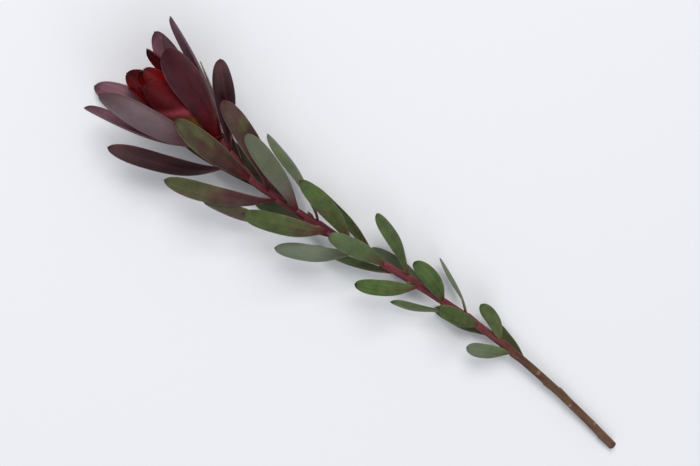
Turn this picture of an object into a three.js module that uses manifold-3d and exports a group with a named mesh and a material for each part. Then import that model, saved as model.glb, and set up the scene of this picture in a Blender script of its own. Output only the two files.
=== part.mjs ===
// A cut stem of leucadendron, the red conebush, lying on a table: a woody stem with leathery leaves
// set round it in one spiral, and at its end a head of large cupped bracts round a small flower cone.
// Millimetres, +Z up, +X from the cut end to the head.
import * as THREE from "three";
import { mergeVertices } from "three/addons/utils/BufferGeometryUtils.js";
import Module from "manifold-3d";

const wasm = await Module();
wasm.setup();

// The stem: its centreline runs from the cut end, on the table, up to the foot of the head.
const STEM_LENGTH = 488;
const CUT_RADIUS = 4.1;
const NECK_RADIUS = 2.9;
const HEAD_HEIGHT = 31;
const STEM_SWAY = 12;
const NECK_LIFT = 5;
const NECK_SWING = { from: 0.893, aside: 13, round: 0.2 };
const STEM_SIDES = 12;
const STEM_RINGS = 34;

// The spiral: each leaf or bract stands this many degrees round from the one before it.
const SPIRAL_TURN = 137.5;
const SPIRAL_START = 180;

// The leaves, counted down the stem from the head. The spiral's first place, right under the head,
// holds none.
const FIRST_LEAF = 1;
const LAST_LEAF = 29;
const LEAF_LONGEST = 107;
const LEAF_SHORTER_EACH = 1.5;
const LEAF_SHORTER_GROWTH = 0.0006;
const LEAF_WIDEST = 19.4;
const LEAF_NARROWER_EACH = 0.16;
const LEAF_STEP = 8.6;
const LEAF_STEP_GROWTH = 0.12;
const LEAF_TWIST = 50;
const LIGHT_PULL = 14;
const LEAF_FACES = { along: 8, across: 4 };

// Small buds sit in the axils of some leaves from the third on: so far up the stem from the leaf's
// foot, leaning out from the stem by so many degrees.
const BUD = { from: 3, ahead: 7.8, lean: 20, length: 7.5, radius: 1.55, widest: 0.42 };
const BUD_SIDES = 8;
const BUD_RINGS = 5;

// The bracts, counted up from the foot of the head, from the outermost in.
const OUTER_BRACTS = 7;
const INNER_BRACTS = 8;
const BRACT_FACES = { along: 10, across: 4 };

// How some blades stand aside from the rule of the spiral, so that the front of the head is open:
// degrees further round, degrees further out at the tip, millimetres longer, degrees more twist, and
// degrees further out at the root alone, which bulges the foot of the blade.
const AS_RULED = { round: 0, out: 0, longer: 0, twist: 0, bulge: 0 };
const BULGE_PER_BEND = 20;
const LEAF_ASIDE = {
  1: { round: -45, out: 24, longer: -16 },
  2: { round: 8, out: -1, longer: 10, twist: 20, bulge: 18 },
  3: { out: 12 },
  4: { round: -8, longer: -6 },
  5: { round: 32, longer: -8 },
  7: { round: 10, out: -10, longer: 8 },
  9: { round: -24, longer: 4 },
  10: { round: -11, out: -12, longer: 5 },
  12: { round: 4, longer: 8 },
};
const BRACT_ASIDE = {
  1: { round: -1, out: -13, longer: 12, bulge: 19 },
  3: { round: 20, longer: 7 },
  4: { round: -28, out: 2, longer: -7, twist: -22 },
  5: { round: 7, out: 10, longer: 3 },
  6: { round: 18, out: -5, longer: 14, twist: -12, bulge: 24 },
  8: { round: 15, out: -2, longer: -6 },
  9: { round: -20, longer: -15 },
  11: { out: -6, longer: -8 },
};

// The foot of the head is two stacked discs of the same woody tissue, with the flower cone on top.
const HEAD_GAP = 0.3;
const OUTER_DISC = { start: HEAD_GAP, length: 6.2, radius: 5.4 };
const INNER_DISC = { start: 6.8, length: 8.2, radius: 4.6 };
const CONE = { start: 15.3, length: 26, radius: 6.5, widest: 0.36, foot: 0.42 };
const DISC_SIDES = 16;

// The cone's scales lie where two families of spirals cross: so many turns of each way round it, over
// so many lengths of a scale.
const CONE_SPIRALS = { one: 3, other: 5, lengths: 4.5, relief: 0.9 };
const CONE_SIDES = 40;
const CONE_RINGS = 26;

const degrees = Math.PI / 180;

// A repeatable number from -1 to 1 for piece i and purpose k.
function scatter(i, k) {
  const mixed = Math.sin(i * 12.9898 + k * 78.233) * 43758.5453;
  return 2 * (mixed - Math.floor(mixed)) - 1;
}

// How far the neck has swung aside at share u of the stem, as a hyperbola that starts level.
function neckSwing(u) {
  const { from, aside, round } = NECK_SWING;
  const rest = Math.max(0, u - from) / (1 - from);
  return aside * (Math.hypot(rest, round) - round) / (Math.hypot(1, round) - round);
}

// The stem's centre at share u of its length.
function stemCentre(u) {
  const rise = HEAD_HEIGHT - CUT_RADIUS;
  return new THREE.Vector3(
    STEM_LENGTH * u,
    -STEM_SWAY * Math.sin(1.5 * Math.PI * u) - neckSwing(u),
    CUT_RADIUS + rise * u * (1.3 - 0.3 * u) + NECK_LIFT * u ** 6,
  );
}

// The stem's own directions at share u: ahead along it, up, and left seen from the cut end. They
// leave out the neck's swing, so the head lies along the line of the stem.
function stemDirections(u) {
  const rise = HEAD_HEIGHT - CUT_RADIUS;
  const ahead = new THREE.Vector3(
    STEM_LENGTH,
    -STEM_SWAY * 1.5 * Math.PI * Math.cos(1.5 * Math.PI * u),
    rise * (1.3 - 0.6 * u) + 6 * NECK_LIFT * u ** 5,
  ).normalize();
  const up = new THREE.Vector3(0, 0, 1).addScaledVector(ahead, -ahead.z).normalize();
  const left = new THREE.Vector3().crossVectors(up, ahead);
  return { ahead, up, left };
}

function stemRadius(u) {
  return CUT_RADIUS + (NECK_RADIUS - CUT_RADIUS) * u;
}

// A point on the head's axis, at a distance beyond the stem's end.
function headPoint(distance) {
  return stemCentre(1).addScaledVector(stemDirections(1).ahead, distance);
}

// Half the width of a blade at share t of its length: it swells from a narrow root to its widest
// place and closes in a round tip, blunter the higher the blade's bluntness.
function halfWidth(blade, t) {
  const half = blade.width / 2;
  if (t < blade.widest) {
    const swell = Math.sin((Math.PI / 2) * (t / blade.widest)) ** 1.15;
    return half * (blade.root + (1 - blade.root) * swell);
  }
  const fall = (t - blade.widest) / (1 - blade.widest);
  return half * Math.sqrt(1 - (0.99 * fall) ** blade.blunt);
}

// The lean of a blade from the stem at share t of its length: it leaves at the root lean and turns to
// the tip lean, and the table may press it in.
function leanAt(blade, t, pressed) {
  return blade.tipLean + (blade.rootLean - blade.tipLean) * (1 - t) ** blade.bend - pressed;
}

// The blade's forward direction, its side and its outer normal at share t of its length. Most of its
// twist about itself comes near its foot.
function bladeDirections(blade, t, pressed) {
  const { ahead, up, left } = blade.directions;
  const turn = blade.turn * degrees;
  const outward = up.clone().multiplyScalar(Math.cos(turn)).addScaledVector(left, Math.sin(turn));
  const across = new THREE.Vector3().crossVectors(outward, ahead);
  const drift = blade.drift * t * degrees;
  const level = ahead.clone().multiplyScalar(Math.cos(drift)).addScaledVector(across, Math.sin(drift));
  const lean = leanAt(blade, t, pressed) * degrees;
  const forward = level.clone().multiplyScalar(Math.cos(lean)).addScaledVector(outward, Math.sin(lean));
  const flatNormal = outward.multiplyScalar(Math.cos(lean)).addScaledVector(level, -Math.sin(lean));
  const flatSide = new THREE.Vector3().crossVectors(flatNormal, forward);
  const twist = blade.twist * (1 - (1 - t) ** 3) * degrees;
  const side = flatSide.clone().multiplyScalar(Math.cos(twist)).addScaledVector(flatNormal, Math.sin(twist));
  const normal = flatNormal.multiplyScalar(Math.cos(twist)).addScaledVector(flatSide, -Math.sin(twist));
  return { forward, side, normal };
}

// The middle surface of a blade as rows of points, closer together towards the tip. Across it the
// blade is an arc, hollow towards the stem, whose edges wave a little.
function bladeRows(blade, { along, across }, pressed) {
  const shareAt = (i) => 1 - (1 - i / along) ** 1.4;
  const { up, left } = blade.directions;
  const turn = blade.turn * degrees;
  const centre = blade.foot
    .clone()
    .addScaledVector(up, blade.footOut * Math.cos(turn))
    .addScaledVector(left, blade.footOut * Math.sin(turn));
  const steps = 4;
  const cup = blade.cup * degrees;
  const rows = [];
  for (let i = 0; i <= along; i++) {
    const t = shareAt(i);
    for (let k = 0; i > 0 && k < steps; k++) {
      const before = shareAt(i - 1);
      const share = (t - before) / steps;
      const { forward } = bladeDirections(blade, before + (k + 0.5) * share, pressed);
      centre.addScaledVector(forward, blade.length * share);
    }
    const { side, normal } = bladeDirections(blade, t, pressed);
    const half = halfWidth(blade, t);
    const row = [];
    for (let j = 0; j <= across; j++) {
      const s = (2 * j) / across - 1;
      const wave = blade.wave * s * s * t * Math.sin(2 * Math.PI * (1.4 * t + blade.phase));
      row.push(
        centre
          .clone()
          .addScaledVector(side, (half * Math.sin(s * cup)) / cup)
          .addScaledVector(normal, wave - (half * (1 - Math.cos(s * cup))) / cup),
      );
    }
    rows.push(row);
  }
  return rows;
}

// The outer and the inner face of a blade: its middle surface moved half the thickness each way. It
// is thickest at the root and along the midrib, and thins to the edges.
function bladeFaces(blade, faces, pressed) {
  const rows = bladeRows(blade, faces, pressed);
  const { along, across } = faces;
  const normalAt = (i, j) => {
    const up = rows[Math.min(i + 1, along)][j].clone().sub(rows[Math.max(i - 1, 0)][j]);
    const over = rows[i][Math.min(j + 1, across)].clone().sub(rows[i][Math.max(j - 1, 0)]);
    return over.cross(up).normalize();
  };
  const faceOf = (way) =>
    rows.map((row, i) =>
      row.map((point, j) => {
        const s = (2 * j) / across - 1;
        const thick = blade.thickness * (1 - 0.3 * s * s) * (1 + 0.8 * (1 - i / along) ** 4);
        return point.clone().addScaledVector(normalAt(i, j), (way * thick) / 2);
      }),
    );
  return [faceOf(1), faceOf(-1)];
}

// How many degrees the table pushes a blade in towards the stem: none if it clears the table.
function pressOf(blade, faces) {
  const lowest = (pressed) => Math.min(...bladeFaces(blade, faces, pressed).flat(2).map((p) => p.z));
  if (lowest(0) >= 0) return 0;
  let least = 0;
  let most = blade.rootLean + 25;
  for (let i = 0; i < 24; i++) {
    const middle = (least + most) / 2;
    if (lowest(middle) < 0) least = middle;
    else most = middle;
  }
  return most;
}

function bladeSolid(blade, faces) {
  const [outer, inner] = bladeFaces(blade, faces, pressOf(blade, faces));
  return solidBetween(outer, inner);
}

// The closed solid between two grids of points that match. Both faces are split the same way.
function solidBetween(front, back) {
  const rows = front.length;
  const columns = front[0].length;
  const points = [...front.flat(), ...back.flat()];
  const f = (i, j) => i * columns + j;
  const b = (i, j) => rows * columns + i * columns + j;
  const faces = [];
  const quad = (p, q, r, s) => faces.push(p, q, r, p, r, s);
  for (let i = 0; i + 1 < rows; i++) {
    for (let j = 0; j + 1 < columns; j++) {
      quad(f(i, j), f(i, j + 1), f(i + 1, j + 1), f(i + 1, j));
      faces.push(b(i, j), b(i + 1, j + 1), b(i, j + 1), b(i, j), b(i + 1, j), b(i + 1, j + 1));
    }
    quad(f(i, 0), f(i + 1, 0), b(i + 1, 0), b(i, 0));
    quad(f(i + 1, columns - 1), f(i, columns - 1), b(i, columns - 1), b(i + 1, columns - 1));
  }
  for (let j = 0; j + 1 < columns; j++) {
    quad(f(0, j + 1), f(0, j), b(0, j), b(0, j + 1));
    quad(f(rows - 1, j), f(rows - 1, j + 1), b(rows - 1, j + 1), b(rows - 1, j));
  }
  return new wasm.Manifold(
    new wasm.Mesh({
      numProp: 3,
      vertProperties: new Float32Array(points.flatMap((p) => p.toArray())),
      triVerts: new Uint32Array(faces),
    }),
  );
}

// A three.js geometry whose shared vertices are merged, as a solid.
function solidOf(geometry) {
  const bare = geometry.clone();
  bare.deleteAttribute("normal");
  bare.deleteAttribute("uv");
  const merged = mergeVertices(bare, 1e-4);
  return new wasm.Manifold(
    new wasm.Mesh({
      numProp: 3,
      vertProperties: merged.getAttribute("position").array,
      triVerts: new Uint32Array(merged.index.array),
    }),
  );
}

// A cylinder laid along a line of centres, with a radius for each share of its length and turn round it.
function roundSolid(sides, rings, centreAt, directionsAt, radiusAt) {
  const geometry = new THREE.CylinderGeometry(1, 1, 1, sides, rings);
  const position = geometry.getAttribute("position");
  for (let i = 0; i < position.count; i++) {
    const share = position.getY(i) + 0.5;
    const [upward, sideways] = [position.getX(i), position.getZ(i)];
    const radius = radiusAt(share, Math.atan2(sideways, upward));
    const { up, left } = directionsAt(share);
    const point = centreAt(share)
      .addScaledVector(up, upward * radius)
      .addScaledVector(left, sideways * radius);
    position.setXYZ(i, point.x, point.y, point.z);
  }
  return solidOf(geometry);
}

function stemSolid() {
  return roundSolid(STEM_SIDES, STEM_RINGS, stemCentre, stemDirections, stemRadius);
}

// A solid turned from a profile of [radius, distance] points about the head's axis.
function turnedOnHead(profile) {
  const geometry = new THREE.LatheGeometry(
    profile.map(([radius, distance]) => new THREE.Vector2(radius, distance)),
    DISC_SIDES,
  );
  const { ahead, up, left } = stemDirections(1);
  const start = headPoint(0);
  geometry.applyMatrix4(new THREE.Matrix4().makeBasis(up, ahead, left).setPosition(start));
  return solidOf(geometry);
}

function discSolid({ start, length, radius }) {
  return turnedOnHead([
    [0, start],
    [radius * 0.8, start],
    [radius, start + length * 0.4],
    [radius * 0.75, start + length],
    [0, start + length],
  ]);
}

// Where leaf k sits, as a share of the stem.
function leafShare(k) {
  return 1 - (6 + LEAF_STEP * k + LEAF_STEP_GROWTH * k * k) / STEM_LENGTH;
}

// Leaf k, counted down from the head. The light pulls the spiral's leaves round towards the top. A
// leaf at the stem's side also twists its outer face up, and one underneath hardly does.
function leafBlade(k) {
  const aside = { ...AS_RULED, ...LEAF_ASIDE[k] };
  const u = leafShare(k);
  const ruled = SPIRAL_START + SPIRAL_TURN * k + 6 * scatter(k, 1) + aside.round;
  const turn = ruled - LIGHT_PULL * Math.sin(ruled * degrees);
  const towardsLight = Math.sin(turn * degrees) * (1 + Math.cos(turn * degrees));
  const shorter = LEAF_SHORTER_EACH * k + LEAF_SHORTER_GROWTH * k ** 3;
  return {
    foot: stemCentre(u),
    footOut: 0,
    directions: stemDirections(u),
    turn,
    length: LEAF_LONGEST - shorter + 4 * scatter(k, 2) + aside.longer,
    width: LEAF_WIDEST - LEAF_NARROWER_EACH * k + 1.2 * scatter(k, 3),
    widest: 0.6,
    root: 0.24,
    blunt: 2.6,
    rootLean: 46 + 6 * scatter(k, 4) + aside.bulge,
    tipLean: 15 + 40 / (k + 4) + 5 * scatter(k, 5) + aside.out,
    bend: 2 + aside.bulge / BULGE_PER_BEND,
    cup: 26 + 8 * scatter(k, 6),
    twist: LEAF_TWIST * towardsLight + 12 * scatter(k, 7) + aside.twist,
    drift: 7 * scatter(k, 8),
    wave: 0.7,
    phase: scatter(k, 9),
    thickness: 0.95,
  };
}

// Bract j, counted in from the outermost. The outer ones stand out with their tips open. The inner
// ones are shorter, and the nearer the middle the more they close over the cone.
function bractBlade(j) {
  const aside = { ...AS_RULED, ...BRACT_ASIDE[j] };
  const inward = (j - 1) / (OUTER_BRACTS + INNER_BRACTS - 1);
  const outer = j <= OUTER_BRACTS;
  const disc = outer ? OUTER_DISC : INNER_DISC;
  const place = outer ? (j - 0.5) / OUTER_BRACTS : (j - OUTER_BRACTS - 0.5) / INNER_BRACTS;
  return {
    foot: headPoint(disc.start + disc.length * (0.15 + 0.5 * place)),
    footOut: disc.radius * 0.56,
    directions: stemDirections(1),
    turn: SPIRAL_START - SPIRAL_TURN * j + aside.round,
    length: 108 - 36 * inward ** 1.6 + 2 * scatter(j, 12) + aside.longer,
    width: 29.5 - 11.5 * inward ** 3,
    widest: 0.6,
    root: outer ? 0.44 : 0.3,
    blunt: 2.8,
    rootLean: (outer ? 47 - 24 * inward : 38) + aside.bulge,
    tipLean: (outer ? 21 - 12 * inward : 6 - 32 * (2 * inward - 1)) + aside.out,
    bend: (outer ? 1.8 : 1.3) + aside.bulge / BULGE_PER_BEND,
    cup: 30 + 18 * inward,
    twist: 5 * scatter(j, 14) + aside.twist,
    drift: 3 * scatter(j, 15),
    wave: 0.4,
    phase: scatter(j, 16),
    thickness: 1.05,
  };
}

function bractSolids(first, last) {
  const solids = [];
  for (let j = first; j <= last; j++) solids.push(bladeSolid(bractBlade(j), BRACT_FACES));
  return solids;
}

// The bud in the axil of leaf k: a small egg that leans out between the stem and the leaf.
function budSolid(k) {
  const { directions, turn } = leafBlade(k);
  const { ahead, up, left } = directions;
  const round = turn * degrees;
  const lean = BUD.lean * degrees;
  const outward = up.clone().multiplyScalar(Math.cos(round)).addScaledVector(left, Math.sin(round));
  const across = new THREE.Vector3().crossVectors(outward, ahead);
  const forward = ahead.clone().multiplyScalar(Math.cos(lean)).addScaledVector(outward, Math.sin(lean));
  const raised = new THREE.Vector3().crossVectors(forward, across);
  const base = stemCentre(leafShare(k) + BUD.ahead / STEM_LENGTH);
  base.addScaledVector(outward, NECK_RADIUS - 0.6);
  const centreAt = (share) => base.clone().addScaledVector(forward, BUD.length * share);
  const directionsAt = () => ({ up: raised, left: across });
  const radiusAt = (share) => {
    const fall = (share - BUD.widest) / (1.03 - BUD.widest);
    return BUD.radius * (fall > 0 ? Math.sqrt(1 - fall ** 2) : 1 - 0.3 * fall ** 2);
  };
  return roundSolid(BUD_SIDES, BUD_RINGS, centreAt, directionsAt, radiusAt);
}

function hasBud(k) {
  return k >= BUD.from && scatter(k, 31) > 0;
}

function leafyStem() {
  const grown = [stemSolid()];
  for (let k = FIRST_LEAF; k <= LAST_LEAF; k++) {
    grown.push(bladeSolid(leafBlade(k), LEAF_FACES));
    if (hasBud(k)) grown.push(budSolid(k));
  }
  return wasm.Manifold.union(grown);
}

// The cone's outline at share d of its length: it widens from its foot and closes as half an ellipse.
function eggRadius(d) {
  if (d < CONE.widest) return CONE.radius * (1 - (1 - CONE.foot) * (1 - d / CONE.widest) ** 2);
  return CONE.radius * Math.sqrt(1 - ((d - CONE.widest) / (1 - CONE.widest)) ** 2);
}

// The cone is an egg cut flat just below its tip. Its scales are bosses between the two families of
// spirals, which are sunk into the egg.
function flowerCone() {
  const topAt = 0.985;
  const { one, other, lengths, relief } = CONE_SPIRALS;
  const radiusAt = (share, turn) => {
    const climb = 2 * Math.PI * lengths * share;
    const boss = Math.abs(Math.sin((one * turn + climb) / 2) * Math.sin((other * turn - climb) / 2));
    const sunk = relief * (1 - boss) * Math.sin(Math.PI * (0.1 + 0.8 * share));
    return eggRadius(topAt * share) - sunk;
  };
  const centreAt = (share) => headPoint(CONE.start + CONE.length * topAt * share);
  return roundSolid(CONE_SIDES, CONE_RINGS, centreAt, () => stemDirections(1), radiusAt);
}

function meshOf(name, solid, color, roughness) {
  const made = solid.getMesh();
  const geometry = new THREE.BufferGeometry();
  geometry.setAttribute("position", new THREE.BufferAttribute(made.vertProperties, 3));
  geometry.setIndex(new THREE.BufferAttribute(made.triVerts, 1));
  geometry.computeVertexNormals();
  const mesh = new THREE.Mesh(
    geometry,
    new THREE.MeshStandardMaterial({ color, roughness, metalness: 0 }),
  );
  mesh.name = name;
  return mesh;
}

const flower = new THREE.Group();
flower.add(
  meshOf("leafy_stem", leafyStem(), 0x55593a, 0.55),
  meshOf(
    "outer_bracts",
    wasm.Manifold.union([discSolid(OUTER_DISC), ...bractSolids(1, OUTER_BRACTS)]),
    0x5a3340,
    0.5,
  ),
  meshOf(
    "inner_bracts",
    wasm.Manifold.union([
      discSolid(INNER_DISC),
      ...bractSolids(OUTER_BRACTS + 1, OUTER_BRACTS + INNER_BRACTS),
    ]),
    0x8e1620,
    0.45,
  ),
  meshOf("flower_cone", flowerCone(), 0x9a8a4a, 0.7),
);

// The flower is set down with the middle of its outline at the origin and its lowest points on z = 0.
const outline = new THREE.Box3().setFromObject(flower);
const middle = outline.getCenter(new THREE.Vector3());
flower.position.set(-middle.x, -middle.y, -outline.min.z);

const part = new THREE.Group();
part.add(flower);
export default part;
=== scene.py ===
import bpy
import numpy as np
from mathutils import Matrix, Vector


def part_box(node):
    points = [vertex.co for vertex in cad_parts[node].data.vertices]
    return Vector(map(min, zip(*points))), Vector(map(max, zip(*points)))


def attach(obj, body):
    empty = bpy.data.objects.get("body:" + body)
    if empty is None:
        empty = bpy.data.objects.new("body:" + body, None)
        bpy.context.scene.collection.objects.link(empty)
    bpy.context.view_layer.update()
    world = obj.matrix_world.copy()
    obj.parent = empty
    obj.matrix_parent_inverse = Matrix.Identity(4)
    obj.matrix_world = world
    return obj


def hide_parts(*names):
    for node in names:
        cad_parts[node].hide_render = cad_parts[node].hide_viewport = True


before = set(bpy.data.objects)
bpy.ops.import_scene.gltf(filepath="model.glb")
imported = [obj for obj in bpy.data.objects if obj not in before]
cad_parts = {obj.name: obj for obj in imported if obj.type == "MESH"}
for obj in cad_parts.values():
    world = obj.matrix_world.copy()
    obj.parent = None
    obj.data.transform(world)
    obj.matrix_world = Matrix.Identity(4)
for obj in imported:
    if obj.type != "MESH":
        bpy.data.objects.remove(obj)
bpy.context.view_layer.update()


# The stem. A one-year shoot of the bush, woody at the cut end and dark red where it is young, with a
# low cushion under each leaf and, on the bare lower length, the scars of the leaves that were
# stripped off. The cut shows pith, pale wood and the thin bark.

STEM_LENGTH = 488.0
CUT_RADIUS = 4.1
NECK_RADIUS = 2.9
HEAD_HEIGHT = 31.0
STEM_SWAY = 12.0
NECK_LIFT = 5.0
NECK_SWING = 13.0
NECK_SWING_FROM = 0.893
NECK_SWING_ROUND = 0.2
SPIRAL_TURN = 137.5
SPIRAL_START = 180.0
LEAF_STEP = 8.6
LEAF_STEP_GROWTH = 0.12
FIRST_STEP = 6.0
LIGHT_PULL = 14.0
FIRST_LEAF = 1
LAST_LEAF = 29
LOWEST_SCAR = 0.015


def scatter(i, k):
    """A repeatable number from -1 to 1 for piece i and purpose k: the fraction of a large sine."""
    large = np.sin(np.asarray(i) * 12.9898 + k * 78.233) * 43758.5453
    return 2 * (large - np.floor(large)) - 1


def blotches(x, y, seed):
    """Soft patches from about -1 to 1 over a surface: five sines of x and y with scattered
    directions, lengths and phases, added and scaled down. x and y count in patch widths."""
    total = 0.0
    for n in range(5):
        turn = 3.1 * scatter(seed, 40 + n)
        pace = 2.2 + 1.6 * scatter(seed, 50 + n)
        total = total + np.sin(
            pace * (x * np.cos(turn) + y * np.sin(turn)) + 9 * scatter(seed, 60 + n)
        )
    return total / 3.2


def neck_swing(u):
    """How far the neck has swung aside at share u of the stem: none up to where it starts, and then
    a hyperbola that starts level and soon grows in step with the rest of the length."""
    rest = np.maximum(0, u - NECK_SWING_FROM) / (1 - NECK_SWING_FROM)
    rounded = np.hypot(rest, NECK_SWING_ROUND) - NECK_SWING_ROUND
    return NECK_SWING * rounded / (np.hypot(1, NECK_SWING_ROUND) - NECK_SWING_ROUND)


def stem_centre(u):
    """The stem's middle at share u of its length: x grows evenly, y sways as three quarters of a
    sine's wave and takes the neck's swing, and z climbs as a parabola from the cut end's radius to
    the head's height, with a lift at the neck as the sixth power of u."""
    u = np.asarray(u, float)
    rise = HEAD_HEIGHT - CUT_RADIUS
    return np.stack(
        [
            STEM_LENGTH * u,
            -STEM_SWAY * np.sin(1.5 * np.pi * u) - neck_swing(u),
            CUT_RADIUS + rise * u * (1.3 - 0.3 * u) + NECK_LIFT * u**6,
        ],
        -1,
    )


def unit(v):
    """Each vector of an array at length one."""
    return v / np.linalg.norm(v, axis=-1, keepdims=True)


def stem_directions(u):
    """Ahead along the stem, which is the slope of its middle line without the neck's swing, then up,
    which is the vertical made square to ahead, and left, which is up crossed with ahead."""
    u = np.asarray(u, float)
    rise = HEAD_HEIGHT - CUT_RADIUS
    ahead = unit(
        np.stack(
            [
                STEM_LENGTH + 0 * u,
                -STEM_SWAY * 1.5 * np.pi * np.cos(1.5 * np.pi * u),
                rise * (1.3 - 0.6 * u) + 6 * NECK_LIFT * u**5,
            ],
            -1,
        )
    )
    up = unit(np.array([0.0, 0.0, 1.0]) - ahead * ahead[..., 2:])
    return ahead, up, np.cross(up, ahead)


def head_point(distance):
    """A point on the head's axis, which goes straight on from the stem's end."""
    return stem_centre(1.0) + np.asarray(distance)[..., None] * stem_directions(1.0)[0]


def head_spoke(turn):
    """Straight out from the head's axis at each turn round it, which starts from up towards left."""
    _, up, left = stem_directions(1.0)
    return np.cos(turn)[..., None] * up + np.sin(turn)[..., None] * left


def ring_turns(sides):
    """The even turns of a ring's points, as one row."""
    return (np.arange(sides) * 2 * np.pi / sides)[None, :]


CONE_START = 15.3
CONE_LENGTH = 26.0
CONE_RADIUS = 6.5
CONE_WIDEST = 0.36
CONE_FOOT = 0.42
CONE_TOP_AT = 0.985
CONE_RINGS = 26
CONE_SIDES = 40


def egg_radius(share):
    """The flower cone's outline: it widens from its foot as a parabola and closes as an ellipse."""
    rest = np.clip((share - CONE_WIDEST) / (1 - CONE_WIDEST), 0, 1)
    swell = 1 - (1 - CONE_FOOT) * (1 - np.clip(share / CONE_WIDEST, 0, 1)) ** 2
    return CONE_RADIUS * swell * np.sqrt(1 - rest**2)


def cone_skin(share, turn):
    """The cone's surface as points: the egg, sunk between bosses that lie where three spirals one
    way cross five the other way."""
    climb = 2 * np.pi * 4.5 * share
    boss = np.abs(np.sin((3 * turn + climb) / 2) * np.sin((5 * turn - climb) / 2))
    sunk = 0.9 * (1 - boss) * np.sin(np.pi * (0.1 + 0.8 * share))
    radius = (egg_radius(CONE_TOP_AT * share) - sunk)[..., None]
    return head_point(CONE_START + CONE_LENGTH * CONE_TOP_AT * share) + radius * head_spoke(turn)


# The stem is worked out in its own frame. The cone's corners, set against the cone's own box in
# the frame, give the way from there to where it lies.
cone_share = (np.arange(CONE_RINGS + 1) / CONE_RINGS)[:, None]
cone_corners = cone_skin(cone_share, ring_turns(CONE_SIDES)).reshape(-1, 3)
low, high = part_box("flower_cone")
SHIFT = np.array((low + high) / 2) * 1000 - (cone_corners.min(0) + cone_corners.max(0)) / 2


def srgb(red, green, blue):
    """A colour given as display values from 0 to 255, as linear light."""
    c = np.array([red, green, blue]) / 255
    return np.where(c <= 0.04045, c / 12.92, ((c + 0.055) / 1.055) ** 2.4)


def mix(a, b, share):
    """From colour a to colour b by share, for whole arrays."""
    share = np.clip(np.asarray(share, float), 0, 1)[..., None]
    return a * (1 - share) + b * share


def bump(x, middle, width):
    """A bell of height one round a middle."""
    return np.exp(-(((x - middle) / width) ** 2))


def ring_faces(rings, sides, first=0):
    """The quads between neighbouring rings of a tube, which close round: ring i, side j is point
    first + i * sides + j, and the faces look outwards when the sides run from up to left."""
    i, j = np.meshgrid(np.arange(rings - 1), np.arange(sides), indexing="ij")
    a = first + i * sides + j
    b = first + i * sides + (j + 1) % sides
    return np.stack([a, a + sides, b + sides, b], -1).reshape(-1, 4)


def end_fans(rings, sides, pole, first=0):
    """The triangles that close both ends of a tube of rings, facing outwards. Its first ring closes
    to the point pole, and its last ring to the point after that one."""
    near = first + np.arange(sides)
    far = near + (rings - 1) * sides
    return np.concatenate(
        [
            np.stack([near, np.roll(near, -1), 0 * near + pole], -1),
            np.stack([np.roll(far, -1), far, 0 * far + pole + 1], -1),
        ]
    )


def build(name, points, quads, triangles, values, paint, material, nodes):
    """A smooth mesh from points in millimetres of the stem's own frame, with one number a point
    for each entry of values and a colour a point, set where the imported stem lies."""
    mesh = bpy.data.meshes.new(name)
    place = (points.reshape(-1, 3) + SHIFT) / 1000
    mesh.from_pydata(place.tolist(), [], quads.tolist() + triangles.tolist())
    for key, value in values.items():
        attribute = mesh.attributes.new(key, "FLOAT", "POINT")
        attribute.data.foreach_set("value", value.astype(np.float32).ravel())
    colour = np.ones((len(place), 4), np.float32)
    colour[:, :3] = paint.reshape(-1, 3)
    attribute = mesh.attributes.new("paint", "FLOAT_COLOR", "POINT")
    attribute.data.foreach_set("color", colour.ravel())
    mesh.polygons.foreach_set("use_smooth", np.ones(len(mesh.polygons), bool))
    mesh.materials.append(material)
    mesh.validate()
    piece = bpy.data.objects.new(name, mesh)
    bpy.context.scene.collection.objects.link(piece)
    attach(piece, "root")
    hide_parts(*nodes)


def new_material(name, roughness, specular):
    """A node material that starts as one glossy layer, with the two constants on its sockets."""
    material = bpy.data.materials.new(name)
    material.use_nodes = True
    skin = material.node_tree.nodes["Principled BSDF"]
    skin.inputs["Roughness"].default_value = roughness
    skin.inputs["Specular IOR Level"].default_value = specular
    return material, material.node_tree, skin


def node(tree, kind, inputs=(), **settings):
    """A shader node with its settings, and its inputs linked or set by name."""
    made = tree.nodes.new(kind)
    for key, value in settings.items():
        setattr(made, key, value)
    for key, value in dict(inputs).items():
        if isinstance(value, bpy.types.NodeSocket):
            tree.links.new(value, made.inputs[key])
        else:
            made.inputs[key].default_value = value
    return made


def mesh_value(tree, key, output="Fac"):
    """A number or colour that the mesh carries at each of its points."""
    return node(tree, "ShaderNodeAttribute", attribute_name=key).outputs[output]


def noise(tree, place, scale, detail, roughness=0.5):
    """Cloudy noise between 0 and 1 over places, with scale cells to a unit."""
    inputs = {"Vector": place, "Scale": scale, "Detail": detail, "Roughness": roughness}
    return node(tree, "ShaderNodeTexNoise", inputs).outputs["Fac"]


def ranged(tree, value, low, high, to_low=0.0, to_high=1.0):
    """A value from low to high carried over to another range, and held at its ends."""
    inputs = {"Value": value, "From Min": low, "From Max": high, "To Min": to_low, "To Max": to_high}
    return node(tree, "ShaderNodeMapRange", inputs).outputs[0]


def joined(tree, operation, a, b):
    """Two values put together by one operation of arithmetic."""
    return node(tree, "ShaderNodeMath", {0: a, 1: b}, operation=operation).outputs[0]


def shaded(tree, colour, share):
    """A colour made darker or lighter by a share."""
    inputs = {0: colour, 1: share}
    return node(tree, "ShaderNodeVectorMath", inputs, operation="MULTIPLY").outputs[0]


def mixed(tree, share, below, above):
    """From the colour below to the colour above by share."""
    inputs = {"Factor": share, "A": below, "B": above}
    return node(tree, "ShaderNodeMix", inputs, data_type="RGBA").outputs[2]


def add_relief(tree, skin, height, strength, depth):
    """Gives a skin relief from a height, with the depth in metres."""
    inputs = {"Height": height, "Strength": strength, "Distance": depth}
    tree.links.new(node(tree, "ShaderNodeBump", inputs).outputs[0], skin.inputs["Normal"])


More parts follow.
